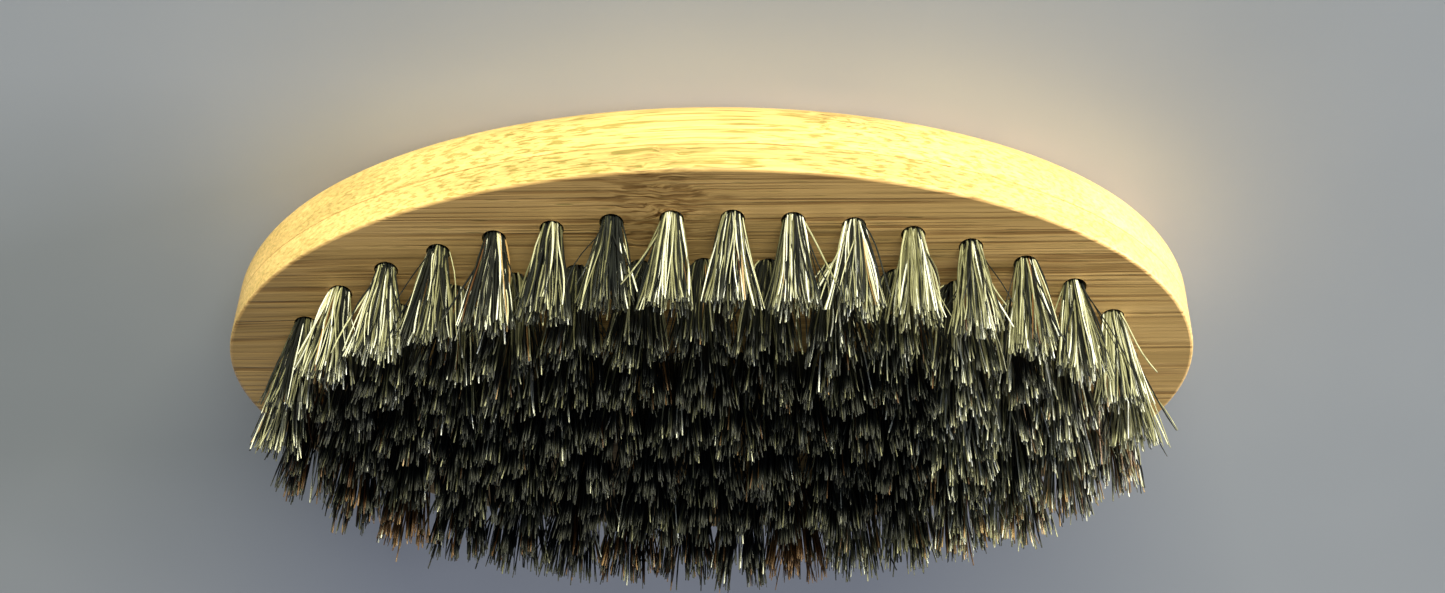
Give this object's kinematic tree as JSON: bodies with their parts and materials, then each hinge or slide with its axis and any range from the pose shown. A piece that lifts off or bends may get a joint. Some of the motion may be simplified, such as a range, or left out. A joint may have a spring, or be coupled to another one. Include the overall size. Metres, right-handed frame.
{
  "type": "beard brush",
  "caption": "Oval palm brush with a two-ply bamboo body and close rings of short natural bristle tufts, each anchored in its own drilled hole.",
  "frame": {"origin": "middle of the flat back that the brush lies on", "axes": "+Z out of the face along the bristles, +X along the length, -Y towards the front long side"},
  "size_m": [0.115, 0.06, 0.0305],
  "materials": {
    "bamboo": "fine sanded and lightly oiled laminated bamboo",
    "bristle": "boar bristle, straw, olive and near-black hairs mixed",
    "anchor_wire": "plain flattened wire"
  },
  "bodies": {
    "root": {"back_ply": "bamboo", "centre_row_anchors": "anchor_wire", "centre_row_tufts_left": "bristle", "centre_row_tufts_right": "bristle", "face_ply": "bamboo", "outer_ring_anchors": "anchor_wire", "outer_ring_tufts_front_left": "bristle", "outer_ring_tufts_front_right": "bristle", "outer_ring_tufts_rear_left": "bristle", "outer_ring_tufts_rear_right": "bristle", "second_ring_anchors": "anchor_wire", "second_ring_tufts_front_left": "bristle", "second_ring_tufts_front_right": "bristle", "second_ring_tufts_rear_left": "bristle", "second_ring_tufts_rear_right": "bristle", "third_ring_anchors": "anchor_wire", "third_ring_tufts_front_left": "bristle", "third_ring_tufts_front_right": "bristle", "third_ring_tufts_rear_left": "bristle", "third_ring_tufts_rear_right": "bristle"}
  },
  "joints": []
}
